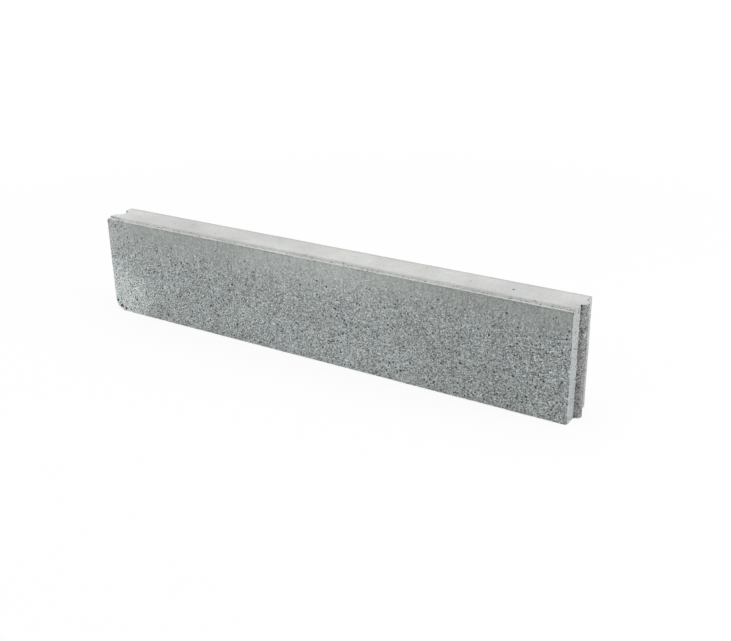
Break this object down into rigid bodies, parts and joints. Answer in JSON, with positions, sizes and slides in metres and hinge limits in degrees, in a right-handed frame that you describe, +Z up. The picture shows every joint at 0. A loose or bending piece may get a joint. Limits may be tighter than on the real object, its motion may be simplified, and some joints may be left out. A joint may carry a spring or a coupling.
{
  "type": "concrete kerb stone",
  "caption": "Straight concrete kerb stone with chamfered top edges, a half-round tongue on one end and a matching groove in the other, for edging a path or lawn.",
  "frame": {"origin": "middle of the bed face, halfway along the laying length and halfway through the thickness", "axes": "+X along the kerb towards the end with the tongue, -Y out of the front face, +Z up from the bed to the top face"},
  "size_m": [1.01, 0.08, 0.2],
  "materials": {
    "concrete": "matte"
  },
  "bodies": {
    "root": {"kerb_stone": "concrete"}
  },
  "joints": []
}
